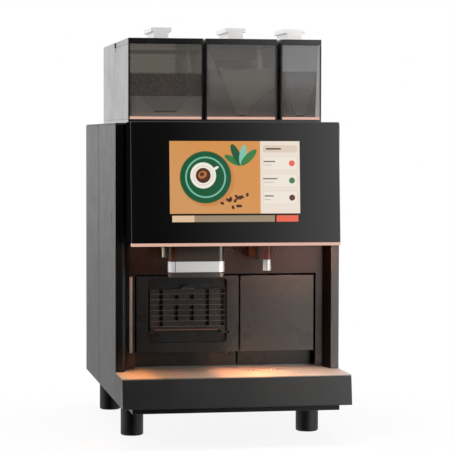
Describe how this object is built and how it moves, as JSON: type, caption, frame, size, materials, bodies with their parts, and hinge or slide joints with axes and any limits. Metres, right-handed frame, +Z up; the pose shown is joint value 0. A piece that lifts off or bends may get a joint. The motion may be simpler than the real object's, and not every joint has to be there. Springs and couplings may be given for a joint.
{
  "type": "coffee vending machine",
  "caption": "Counter-top coffee vending machine with a hinged touch screen door, lidded hoppers, a sliding coffee outlet, a water outlet, drawers and a drip tray.",
  "frame": {"origin": "middle of the machine's footprint, on the surface that its feet stand on", "axes": "+X to the user's right, +Y to the machine's back, +Z up"},
  "size_m": [0.385, 0.575, 0.7027],
  "materials": {
    "panel_paint": "fine-textured satin anthracite powder coat",
    "recess_paint": "smooth dark brown-grey coat, soft sheen",
    "tray_coat": "smooth black-grey coat, soft sheen",
    "drawer_plastic": "moulded plastic with a smooth satin dark grey coat",
    "hopper_plastic": "polished black moulded wall, pale grey inside",
    "jacket": "silver-faced foam jacket",
    "black_plastic": "fine-grained moulded plastic",
    "gloss_black": "polished moulded plastic",
    "black_glass": "back-printed black glass, polished",
    "screen": "lit display behind glass",
    "light_strip": "diffusing strip, lit warm pink",
    "smoked_window": "smoked clear plastic, polished",
    "tank_plastic": "clear tank plastic",
    "drip_steel": "brushed along the width",
    "trim_chrome": "satin-bright plating",
    "plain_steel": "plain sheet and turned steel",
    "foot_rubber": "matte black rubber",
    "works_plastic": "natural moulded plastic",
    "pump_brass": "machined"
  },
  "bodies": {
    "machine": {"side_panel_front_left": "panel_paint", "side_panel_front_right": "panel_paint", "side_panel_rear_left": "panel_paint", "side_panel_rear_right": "panel_paint", "rear_panel": "panel_paint", "top_panel": "panel_paint", "recess_frame": "recess_paint", "water_outlet_bracket": "drawer_plastic", "base_pan": "tray_coat", "bean_hopper": "hopper_plastic", "centre_powder_hopper": "hopper_plastic", "right_powder_hopper": "hopper_plastic", "bean_hopper_light": "light_strip", "centre_powder_hopper_light": "light_strip", "right_powder_hopper_light": "light_strip", "bean_hopper_window": "smoked_window", "centre_powder_hopper_window": "smoked_window", "right_powder_hopper_window": "smoked_window", "steam_nozzle": "trim_chrome", "water_nozzle": "trim_chrome", "chassis_frame": "plain_steel", "door_hinge_rod": "plain_steel", "lid_hinge_rod": "plain_steel", "outlet_rail": "plain_steel", "water_heater": "jacket", "foot_front_left": "foot_rubber", "foot_front_right": "foot_rubber", "foot_rear_left": "foot_rubber", "foot_rear_right": "foot_rubber", "grinder_housing": "works_plastic", "brew_chamber": "works_plastic", "mixer_bowl": "works_plastic", "water_pump": "pump_brass"},
    "door": {"door_shell": "black_plastic", "door_glass": "black_glass", "door_light_bar": "light_strip", "display_module": "screen"},
    "outlet": {"outlet_housing": "gloss_black", "outlet_trim_band": "trim_chrome", "outlet_spout_block": "black_plastic"},
    "tray": {"drip_tray": "tray_coat", "drip_plate": "drip_steel"},
    "grounds_drawer": {"grounds_drawer_front": "drawer_plastic", "grounds_bin": "black_plastic"},
    "shelf": {"cup_shelf": "black_plastic"},
    "tank_drawer": {"tank_drawer_front": "drawer_plastic", "water_tank": "tank_plastic"},
    "bean_flap": {"bean_lid": "gloss_black", "bean_lid_handle": "trim_chrome"},
    "centre_flap": {"centre_powder_lid": "gloss_black", "centre_powder_lid_handle": "trim_chrome"},
    "right_flap": {"right_powder_lid": "gloss_black", "right_powder_lid_handle": "trim_chrome"},
    "centre_screw": {"centre_powder_auger": "plain_steel"},
    "right_screw": {"right_powder_auger": "plain_steel"},
    "burr": {"grinder_burr": "plain_steel"},
    "piston": {"brew_piston": "plain_steel"},
    "whisk": {"mixer_whisk": "plain_steel"},
    "switch": {"power_switch": "black_plastic"},
    "release": {"door_release_slider": "black_plastic"}
  },
  "joints": [
    {"name": "door_swing", "type": "hinge", "parent": "machine", "child": "door", "pos_m": [0.168, -0.1965, 0.436], "axis": [0, 0, 1], "range_deg": [0, 90]},
    {"name": "outlet_height", "type": "slide", "parent": "machine", "child": "outlet", "axis": [0, 0, 1], "range_m": [-0.08, 0.012]},
    {"name": "tray_pull", "type": "slide", "parent": "machine", "child": "tray", "axis": [0, -1, 0], "range_m": [0, 0.12]},
    {"name": "grounds_drawer_pull", "type": "slide", "parent": "machine", "child": "grounds_drawer", "axis": [0, -1, 0], "range_m": [0, 0.15]},
    {"name": "shelf_fold", "type": "hinge", "parent": "grounds_drawer", "child": "shelf", "pos_m": [-0.06478, -0.1515, 0.18], "axis": [1, 0, 0], "range_deg": [0, 90]},
    {"name": "tank_drawer_pull", "type": "slide", "parent": "machine", "child": "tank_drawer", "axis": [0, -1, 0], "range_m": [0, 0.15]},
    {"name": "bean_lid_lift", "type": "hinge", "parent": "machine", "child": "bean_flap", "pos_m": [-0.1029, 0.0245, 0.667], "axis": [-1, 0, 0], "range_deg": [0, 95]},
    {"name": "centre_lid_lift", "type": "hinge", "parent": "machine", "child": "centre_flap", "pos_m": [0.02735, 0.0245, 0.667], "axis": [-1, 0, 0], "range_deg": [0, 95]},
    {"name": "right_lid_lift", "type": "hinge", "parent": "machine", "child": "right_flap", "pos_m": [0.1316, 0.0245, 0.667], "axis": [-1, 0, 0], "range_deg": [0, 95]},
    {"name": "centre_screw_turn", "type": "hinge", "parent": "machine", "child": "centre_screw", "pos_m": [0.02985, 0.0245, 0.563], "axis": [0, 1, 0], "continuous": true},
    {"name": "right_screw_turn", "type": "hinge", "parent": "machine", "child": "right_screw", "pos_m": [0.1316, 0.0245, 0.563], "axis": [0, 1, 0], "continuous": true},
    {"name": "burr_turn", "type": "hinge", "parent": "machine", "child": "burr", "pos_m": [-0.1029, -0.0365, 0.476], "axis": [0, 0, 1], "continuous": true},
    {"name": "piston_stroke", "type": "slide", "parent": "machine", "child": "piston", "axis": [0, 0, 1], "range_m": [-0.04, 0.03]},
    {"name": "whisk_turn", "type": "hinge", "parent": "machine", "child": "whisk", "pos_m": [0.08072, -0.1215, 0.382], "axis": [0, 1, 0], "continuous": true},
    {"name": "switch_rock", "type": "hinge", "parent": "machine", "child": "switch", "pos_m": [-0.084, 0.2812, 0.1045], "axis": [1, 0, 0], "range_deg": [0, 7]},
    {"name": "release_lift", "type": "slide", "parent": "machine", "child": "release", "axis": [0, 0, 1], "range_m": [0, 0.008], "stiffness_N_per_m": 300, "springref_m": -0.003}
  ]
}
